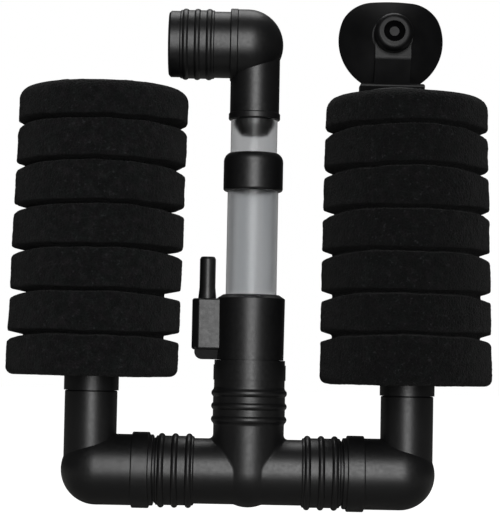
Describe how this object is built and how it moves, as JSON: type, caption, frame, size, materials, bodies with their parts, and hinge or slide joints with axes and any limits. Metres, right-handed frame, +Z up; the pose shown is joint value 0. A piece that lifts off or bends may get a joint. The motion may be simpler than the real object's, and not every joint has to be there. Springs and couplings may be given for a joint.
{
  "type": "sponge filter",
  "caption": "Air-driven aquarium sponge filter: grooved foam cylinders on a ribbed black pipe base, with a telescoping clear riser, turning outlet elbow, airline nipple and suction cup.",
  "frame": {"origin": "on the floor under the base pipes, on the axis of the tee's upright", "axes": "+Z up along the riser, +X towards the sponge with the suction cup, +Y to the back, towards the glass"},
  "size_m": [0.1756, 0.0662, 0.1926],
  "materials": {
    "black_plastic": "satin",
    "soft_black": "satin",
    "foam": "matte",
    "clear_plastic": "gloss"
  },
  "bodies": {
    "base": {"tee_body": "black_plastic"},
    "left_arm": {"left_elbow": "black_plastic"},
    "right_arm": {"right_elbow": "black_plastic"},
    "left_core": {"left_strainer": "black_plastic"},
    "right_core": {"right_strainer": "black_plastic"},
    "left_foam": {"left_sponge": "foam"},
    "right_foam": {"right_sponge": "foam"},
    "inlet": {"air_inlet_sleeve": "black_plastic", "air_nipple": "black_plastic", "air_jet": "black_plastic", "lower_clear_tube": "clear_plastic", "tube_coupling": "black_plastic"},
    "riser": {"upper_clear_tube": "clear_plastic"},
    "outlet": {"outlet_elbow": "black_plastic"},
    "holder": {"suction_cup_holder": "black_plastic"},
    "cup": {"suction_cup": "soft_black"}
  },
  "joints": [
    {"name": "left_arm_tilt", "type": "hinge", "parent": "base", "child": "left_arm", "pos_m": [-0.041, 0, 0.0137], "axis": [1, 0, 0], "continuous": true},
    {"name": "right_arm_tilt", "type": "hinge", "parent": "base", "child": "right_arm", "pos_m": [0.041, 0, 0.0137], "axis": [1, 0, 0], "continuous": true},
    {"name": "left_strainer_turn", "type": "hinge", "parent": "left_arm", "child": "left_core", "pos_m": [-0.0572, 0, 0.05], "axis": [0, 0, 1], "continuous": true},
    {"name": "right_strainer_turn", "type": "hinge", "parent": "right_arm", "child": "right_core", "pos_m": [0.0572, 0, 0.05], "axis": [0, 0, 1], "continuous": true},
    {"name": "left_sponge_lift", "type": "slide", "parent": "left_core", "child": "left_foam", "axis": [0, 0, 1], "range_m": [0, 0.004]},
    {"name": "right_sponge_lift", "type": "slide", "parent": "right_core", "child": "right_foam", "axis": [0, 0, 1], "range_m": [0, 0.11]},
    {"name": "inlet_turn", "type": "hinge", "parent": "base", "child": "inlet", "pos_m": [0, 0, 0.046], "axis": [0, 0, 1], "continuous": true},
    {"name": "riser_slide", "type": "slide", "parent": "inlet", "child": "riser", "axis": [0, 0, 1], "range_m": [-0.004, 0.045]},
    {"name": "outlet_turn", "type": "hinge", "parent": "riser", "child": "outlet", "pos_m": [0, 0, 0.1395], "axis": [0, 0, 1], "continuous": true},
    {"name": "holder_turn", "type": "hinge", "parent": "right_foam", "child": "holder", "pos_m": [0.0572, 0, 0.1425], "axis": [0, 0, 1], "continuous": true},
    {"name": "cup_turn", "type": "hinge", "parent": "holder", "child": "cup", "pos_m": [0.05215, 0.02413, 0.17865], "axis": [0.0226, -0.9959, 0.0872], "continuous": true}
  ]
}
